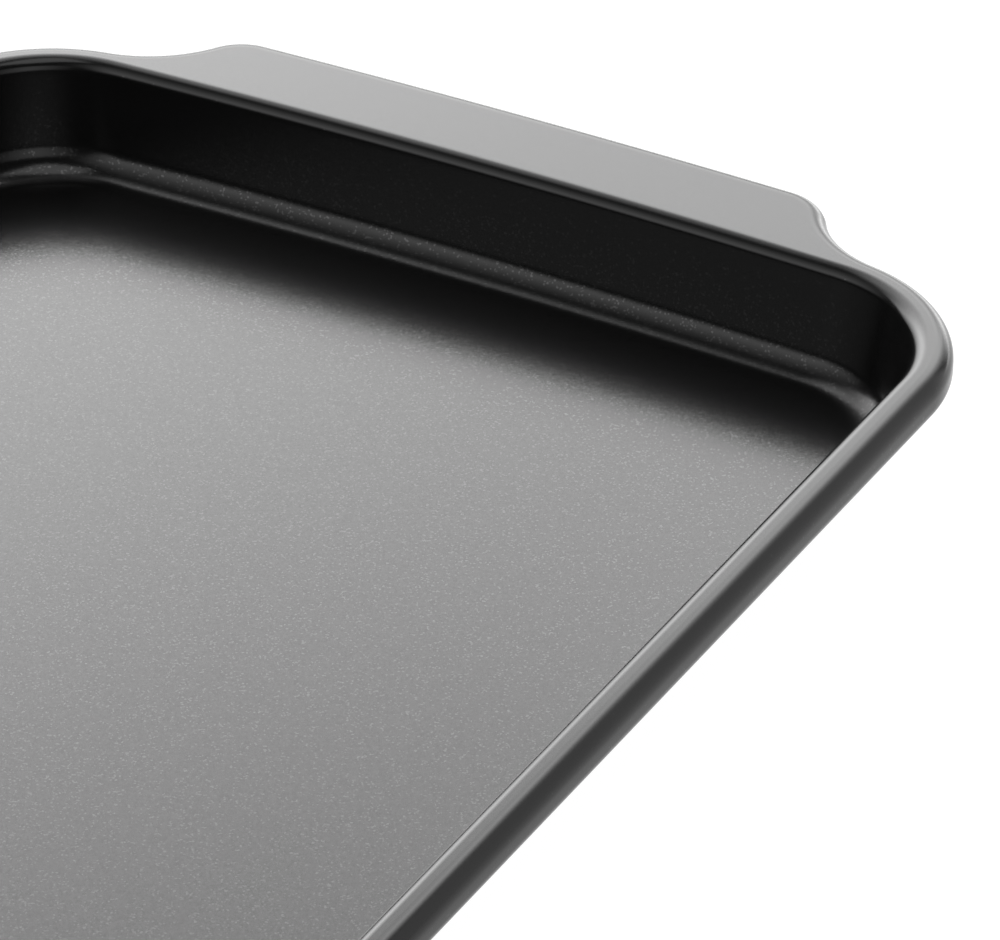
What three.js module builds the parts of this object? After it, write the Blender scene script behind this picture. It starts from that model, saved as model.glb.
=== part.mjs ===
// A sheet pan: one pressed steel sheet with a flat handle tab at each end and a wired rim.
// Millimetres, +Z up. X runs across the pan and Y along it, and the origin is the centre of its underside.
import * as THREE from "three";

// Tray
const FLOOR_WIDTH = 222; // flat floor between its fillets, across the pan
const FLOOR_LENGTH = 349; // flat floor between its fillets, along the pan
const DEPTH = 25.4; // floor to the top of the rim
const SHEET = 0.8; // thickness of the sheet
const WALL_DRAFT = 10.2; // degrees that the walls lean outwards
const FLOOR_FILLET = 7.2; // inside radius between floor and wall
const FLOOR_CORNER_RADIUS = 26.2; // corners of the flat floor, in plan
const RIM_CORNER_RADIUS = 32.4; // corners of the inner edge of the flat rim, in plan
const END_CROWN = 4.1; // how far the middle of a short end bows out

// Rim
const RIM_INNER_BEND = 3.1; // radius over the top of the wall
const RIM_FLAT = 1.3; // flat between the two bends
const RIM_OUTER_BEND = 4.2; // radius down to the skirt
const RIM_SKIRT = 1.9; // straight drop between the outer bend and the curl
const CURL_TURN = 230; // degrees that the edge wraps round the wire

// Wire inside the curl
const WIRE_DIAMETER = 4;
const WIRE_CLEARANCE = 0.3;

// Handle tabs
const HANDLE_FLAT = 19.4; // flat width, from the wall's bend to the outer bend
const HANDLE_SETBACK = 24.9; // from the end of the straight outer edge to the start of the pan's corner
const HANDLE_CORNER_RADIUS = 8.5;
const HANDLE_ROOT_RADIUS = 30.2; // where the tab runs into the rim

// Facets
const HANDLE_STEPS = 4;
const HANDLE_CORNER_STEPS = 4;
const HANDLE_ROOT_STEPS = 4;
const CORNER_STEPS = 8;
const FILLET_STEPS = 5;
const BEND_STEPS = 4;
const CURL_STEPS = 7;
const WIRE_SIDES = 8;

const QUARTER_TURN = Math.PI / 2;

// The section of the wall and rim follows from its bends.
const bendTilt = QUARTER_TURN - THREE.MathUtils.degToRad(WALL_DRAFT);
const bendRadii = FLOOR_FILLET + RIM_INNER_BEND;
const wallLength = (DEPTH - bendRadii * (1 - Math.cos(bendTilt))) / Math.sin(bendTilt);
const wallInset = bendRadii * Math.sin(bendTilt) + wallLength * Math.cos(bendTilt);
const rimTop = SHEET + DEPTH;
const curlTurn = THREE.MathUtils.degToRad(CURL_TURN);
const curlRadius = WIRE_DIAMETER / 2 + WIRE_CLEARANCE + SHEET;
const curlOffset = RIM_OUTER_BEND - curlRadius;
const curlHeight = rimTop - RIM_OUTER_BEND - RIM_SKIRT;

// A ring is a rounded rectangle in plan. Each one is drawn inside or round the floor.
function ring(outset, radius) {
  const halfX = FLOOR_WIDTH / 2 + outset;
  const halfY = FLOOR_LENGTH / 2 + outset;
  return { halfY, radius, corner: new THREE.Vector2(halfX - radius, halfY - radius) };
}

const floorRing = ring(0, FLOOR_CORNER_RADIUS);
const flatRing = ring(wallInset, RIM_CORNER_RADIUS);
const edgeRing = ring(wallInset + RIM_FLAT, RIM_CORNER_RADIUS + RIM_FLAT);
const halfWidth = FLOOR_WIDTH / 2 + wallInset + RIM_FLAT + RIM_OUTER_BEND;
const handleEnd = flatRing.corner.x - HANDLE_SETBACK;

function polar(centre, radius, angle) {
  return new THREE.Vector2(centre.x + radius * Math.cos(angle), centre.y + radius * Math.sin(angle));
}

// Progress along a quarter of a ring: -1 to 0 beside the handle's straight edge, 0 to 1 on to the corner
// and 1 to 2 round it.
function ringAngle(progress) {
  return progress < 1 ? QUARTER_TURN : (2 - progress) * QUARTER_TURN;
}

function ringPoint({ corner, radius, halfY }, progress) {
  if (progress >= 1) return polar(corner, radius, ringAngle(progress));
  const start = progress < 0 ? handleEnd * (1 + progress) : handleEnd;
  const run = progress < 0 ? 0 : (corner.x - handleEnd) * progress;
  return new THREE.Vector2(start + run, halfY);
}

// Centre of the arc between a handle's corner and the rim, which it meets on the straight end or on the corner.
function rootCentre(handleCorner) {
  const reach = HANDLE_CORNER_RADIUS + HANDLE_ROOT_RADIUS;
  const rise = edgeRing.halfY + HANDLE_ROOT_RADIUS - handleCorner.y;
  const straightX = handleCorner.x + Math.sqrt(reach ** 2 - rise ** 2);
  if (straightX <= edgeRing.corner.x) return new THREE.Vector2(straightX, handleCorner.y + rise);
  const between = edgeRing.corner.clone().sub(handleCorner);
  const distance = between.length();
  const cornerReach = edgeRing.radius + HANDLE_ROOT_RADIUS;
  const along = (reach ** 2 - cornerReach ** 2 + distance ** 2) / (2 * distance);
  const across = Math.sqrt(reach ** 2 - along ** 2);
  const direction = between.normalize();
  const outwards = new THREE.Vector2(-direction.y, direction.x);
  return handleCorner.clone().addScaledVector(direction, along).addScaledVector(outwards, across);
}

// Stations of the first quarter, from the middle of a handle to the start of the long side. Each has its
// progress, the outer edge of the flat there and that edge's outward normal.
function quarterStations() {
  const stations = [];
  const add = (progress, edge, angle) =>
    stations.push({ progress, edge, normal: new THREE.Vector2(Math.cos(angle), Math.sin(angle)) });
  const handleCorner = new THREE.Vector2(handleEnd, flatRing.halfY + HANDLE_FLAT - HANDLE_CORNER_RADIUS);
  const root = rootCentre(handleCorner);
  const slope = root.clone().sub(handleCorner).angle();
  const landingAngle = Math.min(root.clone().sub(edgeRing.corner).angle(), QUARTER_TURN);
  const landing =
    root.x > edgeRing.corner.x
      ? 2 - landingAngle / QUARTER_TURN
      : (root.x - handleEnd) / (edgeRing.corner.x - handleEnd);
  const cornerLength = HANDLE_CORNER_RADIUS * (QUARTER_TURN - slope);
  const rootLength = HANDLE_ROOT_RADIUS * (landingAngle - slope);
  const middle = (landing * cornerLength) / (cornerLength + rootLength);

  for (let i = 0; i < HANDLE_STEPS; i++) {
    const progress = i / HANDLE_STEPS - 1;
    const edge = ringPoint(flatRing, progress);
    edge.y += HANDLE_FLAT;
    add(progress, edge, QUARTER_TURN);
  }
  for (let i = 0; i < HANDLE_CORNER_STEPS; i++) {
    const share = i / HANDLE_CORNER_STEPS;
    const angle = THREE.MathUtils.lerp(QUARTER_TURN, slope, share);
    add(middle * share, polar(handleCorner, HANDLE_CORNER_RADIUS, angle), angle);
  }
  for (let i = 0; i < HANDLE_ROOT_STEPS; i++) {
    const share = i / HANDLE_ROOT_STEPS;
    const angle = THREE.MathUtils.lerp(slope, landingAngle, share);
    const progress = THREE.MathUtils.lerp(middle, landing, share);
    add(progress, polar(root, -HANDLE_ROOT_RADIUS, angle), angle);
  }
  const cornerStart = Math.max(landing, 1);
  if (landing < cornerStart) add(landing, ringPoint(edgeRing, landing), QUARTER_TURN);
  for (let i = 0; i <= CORNER_STEPS; i++) {
    const progress = THREE.MathUtils.lerp(cornerStart, 2, i / CORNER_STEPS);
    add(progress, ringPoint(edgeRing, progress), ringAngle(progress));
  }
  return stations;
}

// All stations in order round the pan, clockwise from above, from the middle of the handle at +Y.
function allStations() {
  const quarter = quarterStations().map(({ progress, edge, normal }) => ({
    flat: ringPoint(flatRing, progress),
    floor: ringPoint(floorRing, progress),
    edge,
    normal,
  }));
  const mirrored = (x, y) => {
    const flip = (point) => new THREE.Vector2(point.x * x, point.y * y);
    return quarter.map(({ flat, floor, edge, normal }) => ({
      flat: flip(flat),
      floor: flip(floor),
      edge: flip(edge),
      normal: flip(normal),
    }));
  };
  // The station in the middle of each handle belongs to two quarters and is kept once.
  const back = (stations) => stations.slice(1).reverse();
  return [...quarter, ...back(mirrored(1, -1)), ...mirrored(-1, -1), ...back(mirrored(-1, 1))];
}

// Section points: one in the tray lies inwards from the flat, one on the rim lies outwards from the flat's edge.
const trayPoint = (inset, z) => ({ z, at: ({ flat, floor }) => flat.clone().lerp(floor, inset / wallInset) });
const rimPoint = (offset, z) => ({ z, at: ({ edge, normal }) => edge.clone().addScaledVector(normal, offset) });

function arc(steps, from, to, point) {
  return Array.from({ length: steps + 1 }, (_, i) => point(THREE.MathUtils.lerp(from, to, i / steps)));
}

// One side of the sheet from the edge of the floor to the end of the curl, at a depth under the upper side.
function sheetSide(under) {
  const fillet = FLOOR_FILLET + under;
  const innerBend = RIM_INNER_BEND - under;
  const outerBend = RIM_OUTER_BEND - under;
  const curl = curlRadius - under;
  return [
    ...arc(FILLET_STEPS, 0, bendTilt, (tilt) =>
      trayPoint(wallInset - fillet * Math.sin(tilt), SHEET + FLOOR_FILLET - fillet * Math.cos(tilt)),
    ),
    ...arc(BEND_STEPS, bendTilt, 0, (tilt) =>
      trayPoint(innerBend * Math.sin(tilt), rimTop - RIM_INNER_BEND + innerBend * Math.cos(tilt)),
    ),
    ...arc(BEND_STEPS, 0, QUARTER_TURN, (tilt) =>
      rimPoint(outerBend * Math.sin(tilt), rimTop - RIM_OUTER_BEND + outerBend * Math.cos(tilt)),
    ),
    ...arc(CURL_STEPS, 0, curlTurn, (turn) =>
      rimPoint(curlOffset + curl * Math.cos(turn), curlHeight - curl * Math.sin(turn)),
    ),
  ];
}

// Vertices of a section carried round the stations, with the short ends bowed out.
function sweep(section, stations) {
  return stations.flatMap((station) =>
    section.flatMap((point) => {
      const { x, y } = point.at(station);
      const bow = END_CROWN * (1 - (x / halfWidth) ** 2);
      return [x, y + Math.sign(y) * bow, point.z];
    }),
  );
}

// Faces between neighbouring stations, for a section that is open or closed on itself.
function sweepFaces(count, stationCount, closed) {
  const faces = [];
  for (let s = 0; s < stationCount; s++) {
    const here = s * count;
    const next = ((s + 1) % stationCount) * count;
    for (let i = 0; i < (closed ? count : count - 1); i++) {
      const j = (i + 1) % count;
      faces.push(here + i, next + i, here + j, here + j, next + i, next + j);
    }
  }
  return faces;
}

// A flat cap across the pan from station to opposite station, on the given point of the section.
function capFaces(count, stationCount, point, faceUp) {
  const faces = [];
  const vertex = (station) => (station % stationCount) * count + point;
  const triangle = (a, b, c) => faces.push(a, faceUp ? b : c, faceUp ? c : b);
  for (let s = 0; s < stationCount / 2; s++) {
    const right = vertex(s);
    const nextRight = vertex(s + 1);
    const left = vertex(stationCount - s);
    const nextLeft = vertex(stationCount - s - 1);
    if (nextRight !== nextLeft) triangle(right, nextLeft, nextRight);
    if (right !== left) triangle(right, left, nextLeft);
  }
  return faces;
}

function meshOf(name, vertices, faces, material) {
  const geometry = new THREE.BufferGeometry();
  geometry.setAttribute("position", new THREE.Float32BufferAttribute(vertices, 3));
  geometry.setIndex(faces);
  geometry.computeVertexNormals();
  const mesh = new THREE.Mesh(geometry, material);
  mesh.name = name;
  return mesh;
}

const coatedSteel = new THREE.MeshStandardMaterial({ color: 0x2c2d2f, roughness: 0.38, metalness: 0.4 });
const bareSteel = new THREE.MeshStandardMaterial({ color: 0xb4b6b9, roughness: 0.35, metalness: 1 });

function panBody(stations) {
  const section = [...sheetSide(0), ...sheetSide(SHEET).reverse()];
  const faces = [
    ...sweepFaces(section.length, stations.length, false),
    ...capFaces(section.length, stations.length, 0, true),
    ...capFaces(section.length, stations.length, section.length - 1, false),
  ];
  return meshOf("pan_body", sweep(section, stations), faces, coatedSteel);
}

function rimWire(stations) {
  const radius = WIRE_DIAMETER / 2;
  const section = Array.from({ length: WIRE_SIDES }, (_, i) => {
    const turn = (2 * Math.PI * i) / WIRE_SIDES;
    return rimPoint(curlOffset + radius * Math.cos(turn), curlHeight - radius * Math.sin(turn));
  });
  const faces = sweepFaces(section.length, stations.length, true);
  return meshOf("rim_wire", sweep(section, stations), faces, bareSteel);
}

const stations = allStations();
const pan = new THREE.Group();
pan.add(panBody(stations), rimWire(stations));

export default pan;
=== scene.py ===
import math

import bpy
import numpy as np
from mathutils import Matrix, Vector


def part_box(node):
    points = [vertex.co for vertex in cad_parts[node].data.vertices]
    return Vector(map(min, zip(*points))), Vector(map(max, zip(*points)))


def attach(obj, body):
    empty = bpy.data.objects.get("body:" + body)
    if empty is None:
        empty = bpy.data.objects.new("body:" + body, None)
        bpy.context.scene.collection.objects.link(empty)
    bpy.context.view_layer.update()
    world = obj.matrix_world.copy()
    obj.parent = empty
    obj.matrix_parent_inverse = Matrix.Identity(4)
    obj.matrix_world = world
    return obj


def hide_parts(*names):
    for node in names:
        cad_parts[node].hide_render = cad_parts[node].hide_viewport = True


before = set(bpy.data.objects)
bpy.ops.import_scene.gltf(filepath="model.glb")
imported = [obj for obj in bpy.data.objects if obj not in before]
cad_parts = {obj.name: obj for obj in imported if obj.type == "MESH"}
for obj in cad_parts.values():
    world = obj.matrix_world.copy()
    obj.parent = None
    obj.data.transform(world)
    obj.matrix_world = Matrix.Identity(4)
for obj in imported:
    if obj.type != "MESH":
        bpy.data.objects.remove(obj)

# The pan's sizes in metres, as in the CAD model. Its width, length and depth are read from the CAD part's
# box.
MM = 0.001
SHEET = 0.8 * MM
WALL_DRAFT = math.radians(10.2)
FLOOR_FILLET = 7.2 * MM
FLOOR_CORNER_RADIUS = 26.2 * MM
RIM_CORNER_RADIUS = 32.4 * MM
END_CROWN = 4.1 * MM
RIM_INNER_BEND = 3.1 * MM
RIM_FLAT = 1.3 * MM
RIM_OUTER_BEND = 4.2 * MM
RIM_SKIRT = 1.9 * MM
CURL_TURN = math.radians(230)
WIRE_DIAMETER = 4 * MM
WIRE_CLEARANCE = 0.3 * MM
HANDLE_FLAT = 19.4 * MM
HANDLE_SETBACK = 24.9 * MM
HANDLE_CORNER_RADIUS = 8.5 * MM
HANDLE_ROOT_RADIUS = 30.2 * MM

# Fineness of the mesh
HANDLE_STEPS = 16
HANDLE_CORNER_STEPS = 16
HANDLE_ROOT_STEPS = 20
CORNER_STEPS = 36
FILLET_STEPS = 16
BEND_STEPS = 12
CURL_STEPS = 20
WIRE_SIDES = 16
# Points lie at these shares of the flat and the wall. Those near the ends keep both from shading as bends.
FLAT_SHARES = (0.03, 0.5, 0.97)
WALL_SHARES = (0.06, 0.5, 0.94)
# The first points lie this far inside the floor's edge.
FLOOR_MARGIN = 2 * MM

# Look of the coating
COATING_BLACK = 0.004
COATING_ROUGHNESS = 0.2
COATING_IOR = 1.36
GRAINS_PER_METRE = 2600
FLECK_SHARE = 0.08
FLECK_GREY = 0.049
# A grain leans by its random colour, less the middle colour, times the lean.
MIDDLE_COLOUR = (0.5, 0.5, 0.5)
GRAIN_LEAN_FLOOR = 0.022
GRAIN_LEAN_RIM = 0.008
# From this share of the rim's height up to the rim, flecks get fewer and grains lean less.
FADE_START = 0.3

# Look of the wire
WIRE_COLOUR = (0.55, 0.55, 0.56, 1)
WIRE_SPOTS_PER_METRE = 1500
WIRE_NOISE = (0.3, 0.7)
WIRE_ROUGHNESS = (0.3, 0.5)

# The studio's floor and room
STUDIO_HALF_SIZE = 8
STUDIO_DROP = 0.3 * MM
STUDIO_GREY = 0.1
STUDIO_GLOW = 0.985
ROOM_GREY = 0.06
# The floor's added glow rises along Y behind the pan, and ends on the right at a slanted edge.
BACK_GLOW = 2.6
BACK_GLOW_RISE = (0.2, 0.6)
BACK_GLOW_ACROSS = (1, -0.4, 0)
BACK_GLOW_EDGE = (-0.05, 0.1)

# How a softbox's level can run across its face, as places from 0 to 1 and their levels
EVEN = ((0, 1), (1, 1))
TENT = ((0, 0), (0.5, 1), (1, 0))

# The photograph's camera
IMAGE_WIDTH = 1000
IMAGE_HEIGHT = 940
CAMERA_YAW = math.radians(29.084)
CAMERA_PITCH = math.radians(32.49)
CAMERA_DISTANCE = 1.5707
CAMERA_FOCAL_PIXELS = 7401
SENSOR_WIDTH = 36
# The point where the inner edges of the right and far rims would meet, if straight, is seen at this pixel.
CORNER_PIXEL = (979.5, 307.5)

QUARTER_TURN = math.pi / 2

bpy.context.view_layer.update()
pan_low, pan_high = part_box("pan_body")
pan_size = Vector(pan_high) - Vector(pan_low)

# The section of the wall and rim follows from its bends.
depth = pan_size.z - SHEET
bend_tilt = QUARTER_TURN - WALL_DRAFT
bend_radii = FLOOR_FILLET + RIM_INNER_BEND
wall_length = (depth - bend_radii * (1 - math.cos(bend_tilt))) / math.sin(bend_tilt)
wall_inset = bend_radii * math.sin(bend_tilt) + wall_length * math.cos(bend_tilt)
half_width = pan_size.x / 2
floor_half_x = half_width - RIM_OUTER_BEND - RIM_FLAT - wall_inset
floor_half_y = pan_size.y / 2 - END_CROWN - RIM_OUTER_BEND - HANDLE_FLAT - wall_inset
rim_top = SHEET + depth
curl_radius = WIRE_DIAMETER / 2 + WIRE_CLEARANCE + SHEET
curl_offset = RIM_OUTER_BEND - curl_radius
curl_height = rim_top - RIM_OUTER_BEND - RIM_SKIRT


class Ring:
    """A rounded rectangle in plan, drawn round the floor."""

    def __init__(self, outset, radius):
        self.half_y = floor_half_y + outset
        self.radius = radius
        self.corner = np.array([floor_half_x + outset - radius, self.half_y - radius])


floor_ring = Ring(0, FLOOR_CORNER_RADIUS)
flat_ring = Ring(wall_inset, RIM_CORNER_RADIUS)
edge_ring = Ring(wall_inset + RIM_FLAT, RIM_CORNER_RADIUS + RIM_FLAT)
handle_end = flat_ring.corner[0] - HANDLE_SETBACK


def unit(angle):
    return np.array([math.cos(angle), math.sin(angle)])


def angle_of(vector):
    return math.atan2(vector[1], vector[0])


def ring_angle(progress):
    return QUARTER_TURN if progress < 1 else (2 - progress) * QUARTER_TURN


def ring_point(ring, progress):
    """Progress is -1 to 0 beside the handle's straight edge, 0 to 1 on to the corner and 1 to 2 round it."""
    if progress >= 1:
        return ring.corner + ring.radius * unit(ring_angle(progress))
    if progress < 0:
        return np.array([handle_end * (1 + progress), ring.half_y])
    return np.array([handle_end + (ring.corner[0] - handle_end) * progress, ring.half_y])


def root_centre(handle_corner):
    """Centre of the arc between a handle's corner and the pan's corner, which it meets on the rim."""
    reach = HANDLE_CORNER_RADIUS + HANDLE_ROOT_RADIUS
    corner_reach = edge_ring.radius + HANDLE_ROOT_RADIUS
    between = edge_ring.corner - handle_corner
    distance = np.linalg.norm(between)
    along = (reach**2 - corner_reach**2 + distance**2) / (2 * distance)
    across = math.sqrt(reach**2 - along**2)
    direction = between / distance
    outwards = np.array([-direction[1], direction[0]])
    return handle_corner + direction * along + outwards * across


def quarter_stations():
    """Stations from the middle of a handle round to the long side.

    Each has its progress, a point on the flat's outer edge and the angle of the edge's normal.
    """
    handle_corner = np.array([handle_end, flat_ring.half_y + HANDLE_FLAT - HANDLE_CORNER_RADIUS])
    root = root_centre(handle_corner)
    slope = angle_of(root - handle_corner)
    landing_angle = angle_of(root - edge_ring.corner)
    landing = 2 - landing_angle / QUARTER_TURN
    corner_length = HANDLE_CORNER_RADIUS * (QUARTER_TURN - slope)
    root_length = HANDLE_ROOT_RADIUS * (landing_angle - slope)
    middle = landing * corner_length / (corner_length + root_length)

    quarter = []
    for share in np.linspace(0, 1, HANDLE_STEPS, endpoint=False):
        edge = ring_point(flat_ring, share - 1) + np.array([0, HANDLE_FLAT])
        quarter.append((share - 1, edge, QUARTER_TURN))
    for share in np.linspace(0, 1, HANDLE_CORNER_STEPS, endpoint=False):
        angle = QUARTER_TURN + (slope - QUARTER_TURN) * share
        quarter.append((middle * share, handle_corner + HANDLE_CORNER_RADIUS * unit(angle), angle))
    for share in np.linspace(0, 1, HANDLE_ROOT_STEPS, endpoint=False):
        angle = slope + (landing_angle - slope) * share
        progress = middle + (landing - middle) * share
        quarter.append((progress, root - HANDLE_ROOT_RADIUS * unit(angle), angle))
    for progress in np.linspace(landing, 2, CORNER_STEPS + 1):
        quarter.append((progress, ring_point(edge_ring, progress), ring_angle(progress)))
    return quarter


def all_stations():
    """Points and normals of every station round the pan, clockwise from above, as (count, 2) arrays."""
    quarter = quarter_stations()
    columns = {
        "flat": np.array([ring_point(flat_ring, progress) for progress, _, _ in quarter]),
        "floor": np.array([ring_point(floor_ring, progress) for progress, _, _ in quarter]),
        "edge": np.array([edge for _, edge, _ in quarter]),
        "normal": np.array([unit(angle) for _, _, angle in quarter]),
    }

    def whole(points):
        back = points[:0:-1]
        return np.concatenate([points, back * (1, -1), points * (-1, -1), back * (-1, 1)])

    return {name: whole(points) for name, points in columns.items()}


stations = all_stations()
station_count = len(stations["flat"])


def tray_point(inset, z):
    """The section's point at an inset from the flat's inner edge, at every station."""
    return stations["flat"] + (stations["floor"] - stations["flat"]) * (inset / wall_inset), z


def flat_point(share, z):
    """The section's point at a share of the way over the flat, at every station."""
    return stations["flat"] + (stations["edge"] - stations["flat"]) * share, z


def rim_point(offset, z):
    """The section's point at an offset outwards from the flat's outer edge, at every station."""
    return stations["edge"] + stations["normal"] * offset, z


def curl_point(radius, turn):
    """The section's point round the curl's centre, turned down from straight outwards."""
    return rim_point(curl_offset + radius * math.cos(turn), curl_height - radius * math.sin(turn))


def sheet_side(under):
    """One side of the sheet from the floor to the end of the curl, at a depth under the upper side."""
    fillet = FLOOR_FILLET + under
    fillet_centre = SHEET + FLOOR_FILLET
    inner_bend = RIM_INNER_BEND - under
    inner_bend_centre = rim_top - RIM_INNER_BEND
    outer_bend = RIM_OUTER_BEND - under
    outer_bend_centre = rim_top - RIM_OUTER_BEND

    def fillet_point(tilt):
        return np.array([wall_inset - fillet * math.sin(tilt), fillet_centre - fillet * math.cos(tilt)])

    def inner_bend_point(tilt):
        return np.array([inner_bend * math.sin(tilt), inner_bend_centre + inner_bend * math.cos(tilt)])

    points = [tray_point(wall_inset + FLOOR_MARGIN, SHEET - under)]
    for tilt in np.linspace(0, bend_tilt, FILLET_STEPS + 1):
        points.append(tray_point(*fillet_point(tilt)))
    foot = fillet_point(bend_tilt)
    head = inner_bend_point(bend_tilt)
    for share in WALL_SHARES:
        points.append(tray_point(*(foot + (head - foot) * share)))
    for tilt in np.linspace(bend_tilt, 0, BEND_STEPS + 1):
        points.append(tray_point(*inner_bend_point(tilt)))
    for share in FLAT_SHARES:
        points.append(flat_point(share, rim_top - under))
    for tilt in np.linspace(0, QUARTER_TURN, BEND_STEPS + 1):
        z = outer_bend_centre + outer_bend * math.cos(tilt)
        points.append(rim_point(outer_bend * math.sin(tilt), z))
    for turn in np.linspace(0, CURL_TURN, CURL_STEPS + 1):
        points.append(curl_point(curl_radius - under, turn))
    return points


def sweep_vertices(section):
    """Vertices in order of station, then section point, with the short ends bowed out."""
    rings = []
    for plan, z in section:
        x, y = plan.T
        bow = END_CROWN * (1 - (x / half_width) ** 2)
        rings.append(np.stack([x, y + np.sign(y) * bow, np.full_like(x, z)], axis=1))
    return np.stack(rings, axis=1).reshape(-1, 3)


def sweep_faces(count, closed):
    """Faces between neighbouring stations, for a section of count points."""
    faces = []
    for station in range(station_count):
        here = station * count
        following = (station + 1) % station_count * count
        for i in range(count if closed else count - 1):
            j = (i + 1) % count
            faces.append((here + i, following + i, following + j, here + j))
    return faces


def mesh_object(name, vertices, faces, material):
    mesh = bpy.data.meshes.new(name)
    mesh.from_pydata(vertices.tolist(), [], faces)
    mesh.polygons.foreach_set("use_smooth", np.ones(len(mesh.polygons), dtype=bool))
    mesh.materials.append(material)
    mesh.update()
    obj = bpy.data.objects.new(name, mesh)
    bpy.context.collection.objects.link(obj)
    return obj


def grey(level):
    return (level, level, level, 1)


def new_material(name):
    material = bpy.data.materials.new(name)
    material.use_nodes = True
    return material, material.node_tree, material.node_tree.nodes["Principled BSDF"]


def object_coordinates(tree):
    return tree.nodes.new("ShaderNodeTexCoord").outputs["Object"]


def split_axes(tree, vector):
    node = tree.nodes.new("ShaderNodeSeparateXYZ")
    tree.links.new(vector, node.inputs["Vector"])
    return node.outputs


def map_range(tree, value, from_low, from_high, to_low, to_high):
    """A value eased from one range to another, and held at its ends."""
    node = tree.nodes.new("ShaderNodeMapRange")
    node.interpolation_type = "SMOOTHSTEP"
    limits = {"From Min": from_low, "From Max": from_high, "To Min": to_low, "To Max": to_high}
    for name, number in limits.items():
        node.inputs[name].default_value = number
    tree.links.new(value, node.inputs["Value"])
    return node.outputs["Result"]


def ramp(tree, value, stops):
    """A level that runs straight from stop to stop. Each stop is a place from 0 to 1 and its level."""
    node = tree.nodes.new("ShaderNodeValToRGB")
    elements = node.color_ramp.elements
    while len(elements) < len(stops):
        elements.new(1)
    for element, (place, level) in zip(elements, stops):
        element.position = place
        element.color = grey(level)
    tree.links.new(value, node.inputs["Fac"])
    return node.outputs["Color"]


def math_node(tree, operation, first, second):
    node = tree.nodes.new("ShaderNodeMath")
    node.operation = operation
    tree.links.new(first, node.inputs[0])
    tree.links.new(second, node.inputs[1])
    return node.outputs["Value"]


def vector_math(tree, operation, first, second=None):
    """The second input is another node's output, a fixed vector or nothing."""
    node = tree.nodes.new("ShaderNodeVectorMath")
    node.operation = operation
    tree.links.new(first, node.inputs[0])
    if isinstance(second, tuple):
        node.inputs[1].default_value = second
    elif second is not None:
        tree.links.new(second, node.inputs[1])
    return node.outputs["Value" if operation == "DOT_PRODUCT" else "Vector"]


def coating_material():
    """Satin black coating with small metal flecks. Every grain leans a little its own way."""
    material, tree, shader = new_material("coated_steel")
    shader.inputs["Roughness"].default_value = COATING_ROUGHNESS
    shader.inputs["IOR"].default_value = COATING_IOR
    place = object_coordinates(tree)
    height = split_axes(tree, place)["Z"]
    fade = (FADE_START * rim_top, rim_top)
    grains = tree.nodes.new("ShaderNodeTexVoronoi")
    grains.inputs["Scale"].default_value = GRAINS_PER_METRE
    tree.links.new(place, grains.inputs["Vector"])

    chance = tree.nodes.new("ShaderNodeSeparateColor")
    tree.links.new(grains.outputs["Color"], chance.inputs["Color"])
    limit = map_range(tree, height, *fade, 1 - FLECK_SHARE, 1)
    fleck = math_node(tree, "GREATER_THAN", chance.outputs["Red"], limit)
    tree.links.new(fleck, shader.inputs["Metallic"])
    colour = map_range(tree, fleck, 0, 1, COATING_BLACK, FLECK_GREY)
    tree.links.new(colour, shader.inputs["Base Color"])

    lean = vector_math(tree, "SUBTRACT", grains.outputs["Color"], MIDDLE_COLOUR)
    lean = vector_math(tree, "SCALE", lean)
    lean_size = map_range(tree, height, *fade, GRAIN_LEAN_FLOOR, GRAIN_LEAN_RIM)
    tree.links.new(lean_size, lean.node.inputs["Scale"])
    normal = tree.nodes.new("ShaderNodeNewGeometry").outputs["Normal"]
    leaning = vector_math(tree, "ADD", normal, lean)
    leaning = vector_math(tree, "NORMALIZE", leaning)
    tree.links.new(leaning, shader.inputs["Normal"])
    return material


def wire_material():
    """Bare steel with a slightly uneven gloss."""
    material, tree, shader = new_material("wire_steel")
    shader.inputs["Base Color"].default_value = WIRE_COLOUR
    shader.inputs["Metallic"].default_value = 1
    spots = tree.nodes.new("ShaderNodeTexNoise")
    spots.inputs["Scale"].default_value = WIRE_SPOTS_PER_METRE
    tree.links.new(object_coordinates(tree), spots.inputs["Vector"])
    roughness = map_range(tree, spots.outputs["Fac"], *WIRE_NOISE, *WIRE_ROUGHNESS)
    tree.links.new(roughness, shader.inputs["Roughness"])
    return material


def pan_body():
    section = sheet_side(0) + sheet_side(SHEET)[::-1]
    count = len(section)
    faces = sweep_faces(count, closed=False)
    faces.append(tuple(station * count for station in reversed(range(station_count))))
    faces.append(tuple(station * count + count - 1 for station in range(station_count)))
    body = mesh_object("coated_pan", sweep_vertices(section), faces, coating_material())
    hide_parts("pan_body")
    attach(body, "root")


def rim_wire():
    turns = np.linspace(0, 2 * math.pi, WIRE_SIDES, endpoint=False)
    section = [curl_point(WIRE_DIAMETER / 2, turn) for turn in turns]
    faces = sweep_faces(len(section), closed=True)
    wire = mesh_object("round_wire", sweep_vertices(section), faces, wire_material())
    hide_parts("rim_wire")
    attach(wire, "root")


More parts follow.
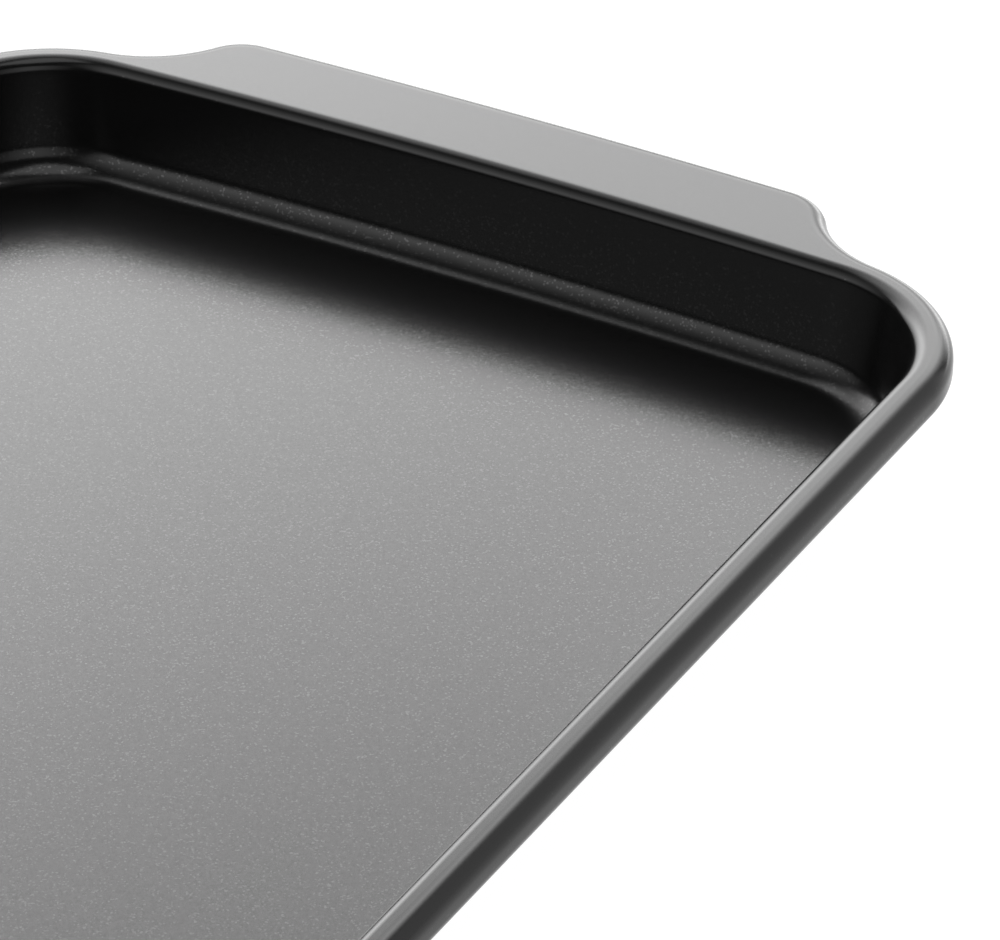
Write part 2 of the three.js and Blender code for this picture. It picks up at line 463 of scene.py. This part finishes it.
def studio_floor():
    """A pale floor that glows, and glows more behind the pan and to its left."""
    material, tree, shader = new_material("studio_floor")
    shader.inputs["Base Color"].default_value = grey(STUDIO_GREY)
    shader.inputs["Roughness"].default_value = 1
    shader.inputs["Specular IOR Level"].default_value = 0
    shader.inputs["Emission Color"].default_value = grey(1)
    place = object_coordinates(tree)
    behind = map_range(tree, split_axes(tree, place)["Y"], *BACK_GLOW_RISE, 0, BACK_GLOW)
    across = vector_math(tree, "DOT_PRODUCT", place, BACK_GLOW_ACROSS)
    left = map_range(tree, across, *BACK_GLOW_EDGE, 1, 0)
    glow = math_node(tree, "MULTIPLY_ADD", behind, left)
    glow.node.inputs[2].default_value = STUDIO_GLOW
    tree.links.new(glow, shader.inputs["Emission Strength"])
    half = STUDIO_HALF_SIZE
    z = -STUDIO_DROP
    corners = np.array([(-half, -half, z), (half, -half, z), (half, half, z), (-half, half, z)])
    floor = mesh_object("studio_floor", corners, [(0, 1, 2, 3)], material)


def softbox(name, azimuth, elevation, distance, width, height, brightness, leftwards=EVEN, upwards=EVEN):
    """An area light that faces the pan, with stops for its levels leftwards and upwards, seen from the pan.

    Azimuth is clockwise from +Y, seen from above. It and elevation are in degrees.
    """
    light = bpy.data.lights.new(name, "AREA")
    light.shape = "RECTANGLE"
    light.size = width
    light.size_y = height
    light.energy = brightness * math.pi * width * height
    light.use_nodes = True
    tree = light.node_tree
    axes = split_axes(tree, tree.nodes.new("ShaderNodeNewGeometry").outputs["Parametric"])
    across = ramp(tree, axes["X"], leftwards)
    level = math_node(tree, "MULTIPLY", across, ramp(tree, axes["Y"], upwards))
    tree.links.new(level, tree.nodes["Emission"].inputs["Strength"])
    lamp = bpy.data.objects.new(name, light)
    turn = math.radians(azimuth)
    climb = math.radians(elevation)
    direction = Vector((math.sin(turn) * math.cos(climb), math.cos(turn) * math.cos(climb), math.sin(climb)))
    lamp.location = direction * distance
    lamp.rotation_euler = direction.to_track_quat("Z", "Y").to_euler()
    lamp.visible_camera = False
    bpy.context.collection.objects.link(lamp)


def studio_light():
    """A dim room with softboxes round the pan and above it."""
    world = bpy.data.worlds.new("studio")
    world.use_nodes = True
    world.node_tree.nodes["Background"].inputs["Color"].default_value = grey(ROOM_GREY)
    bpy.context.scene.world = world
    softbox(
        "key", azimuth=-46, elevation=28, distance=1.7, width=2.5, height=1.75, brightness=9.65,
        leftwards=((0, 0), (0.25, 0.8), (0.5, 1), (1, 0.5)),
        upwards=((0, 0.05), (0.3, 0.6), (0.45, 1), (0.85, 0.24), (1, 0.12)),
    )
    softbox(
        "top", azimuth=-60, elevation=56, distance=1.6, width=1.2, height=0.7, brightness=3.2,
        leftwards=TENT,
        upwards=TENT,
    )
    softbox(
        "behind", azimuth=-1, elevation=30, distance=1.8, width=1.3, height=2.1, brightness=6.9,
        leftwards=TENT,
        upwards=((0, 0.8), (0.1, 0.8), (0.27, 0.45), (0.48, 1), (1, 1)),
    )
    softbox(
        "fill", azimuth=-138, elevation=37, distance=1.8, width=2.4, height=1.98, brightness=2.6,
        leftwards=((0, 0.1), (0.66, 1), (1, 0.2)),
        upwards=((0, 0.25), (0.25, 1), (1, 0.1)),
    )
    softbox("far_right", azimuth=38, elevation=22, distance=1.9, width=1.1, height=1.5, brightness=1.1)
    softbox(
        "near_right", azimuth=135, elevation=27, distance=1.8, width=2.4, height=1.3, brightness=1.5,
        leftwards=TENT,
    )
    softbox("roof", azimuth=0, elevation=88, distance=1.9, width=1, height=1, brightness=2.2)


def photo_camera():
    right = Vector((math.cos(CAMERA_YAW), math.sin(CAMERA_YAW), 0))
    away = Vector((-math.sin(CAMERA_YAW), math.cos(CAMERA_YAW), 0))
    forward = away * math.cos(CAMERA_PITCH) - Vector((0, 0, math.sin(CAMERA_PITCH)))
    up = right.cross(forward)

    corner = Vector((floor_half_x + wall_inset, flat_ring.half_y, rim_top))
    pixel_size = CAMERA_DISTANCE / CAMERA_FOCAL_PIXELS
    across = (CORNER_PIXEL[0] - IMAGE_WIDTH / 2) * pixel_size
    above = (IMAGE_HEIGHT / 2 - CORNER_PIXEL[1]) * pixel_size
    place = corner - forward * CAMERA_DISTANCE - right * across - up * above

    data = bpy.data.cameras.new("photo_camera")
    data.sensor_fit = "HORIZONTAL"
    data.sensor_width = SENSOR_WIDTH
    data.lens = CAMERA_FOCAL_PIXELS * SENSOR_WIDTH / IMAGE_WIDTH
    camera = bpy.data.objects.new("photo_camera", data)
    turn = Matrix((right, up, -forward)).transposed()
    camera.matrix_world = Matrix.Translation(place) @ turn.to_4x4()
    bpy.context.collection.objects.link(camera)
    bpy.context.scene.camera = camera


pan_body()
rim_wire()
studio_floor()
studio_light()
photo_camera()
bpy.context.scene.view_settings.view_transform = "Standard"
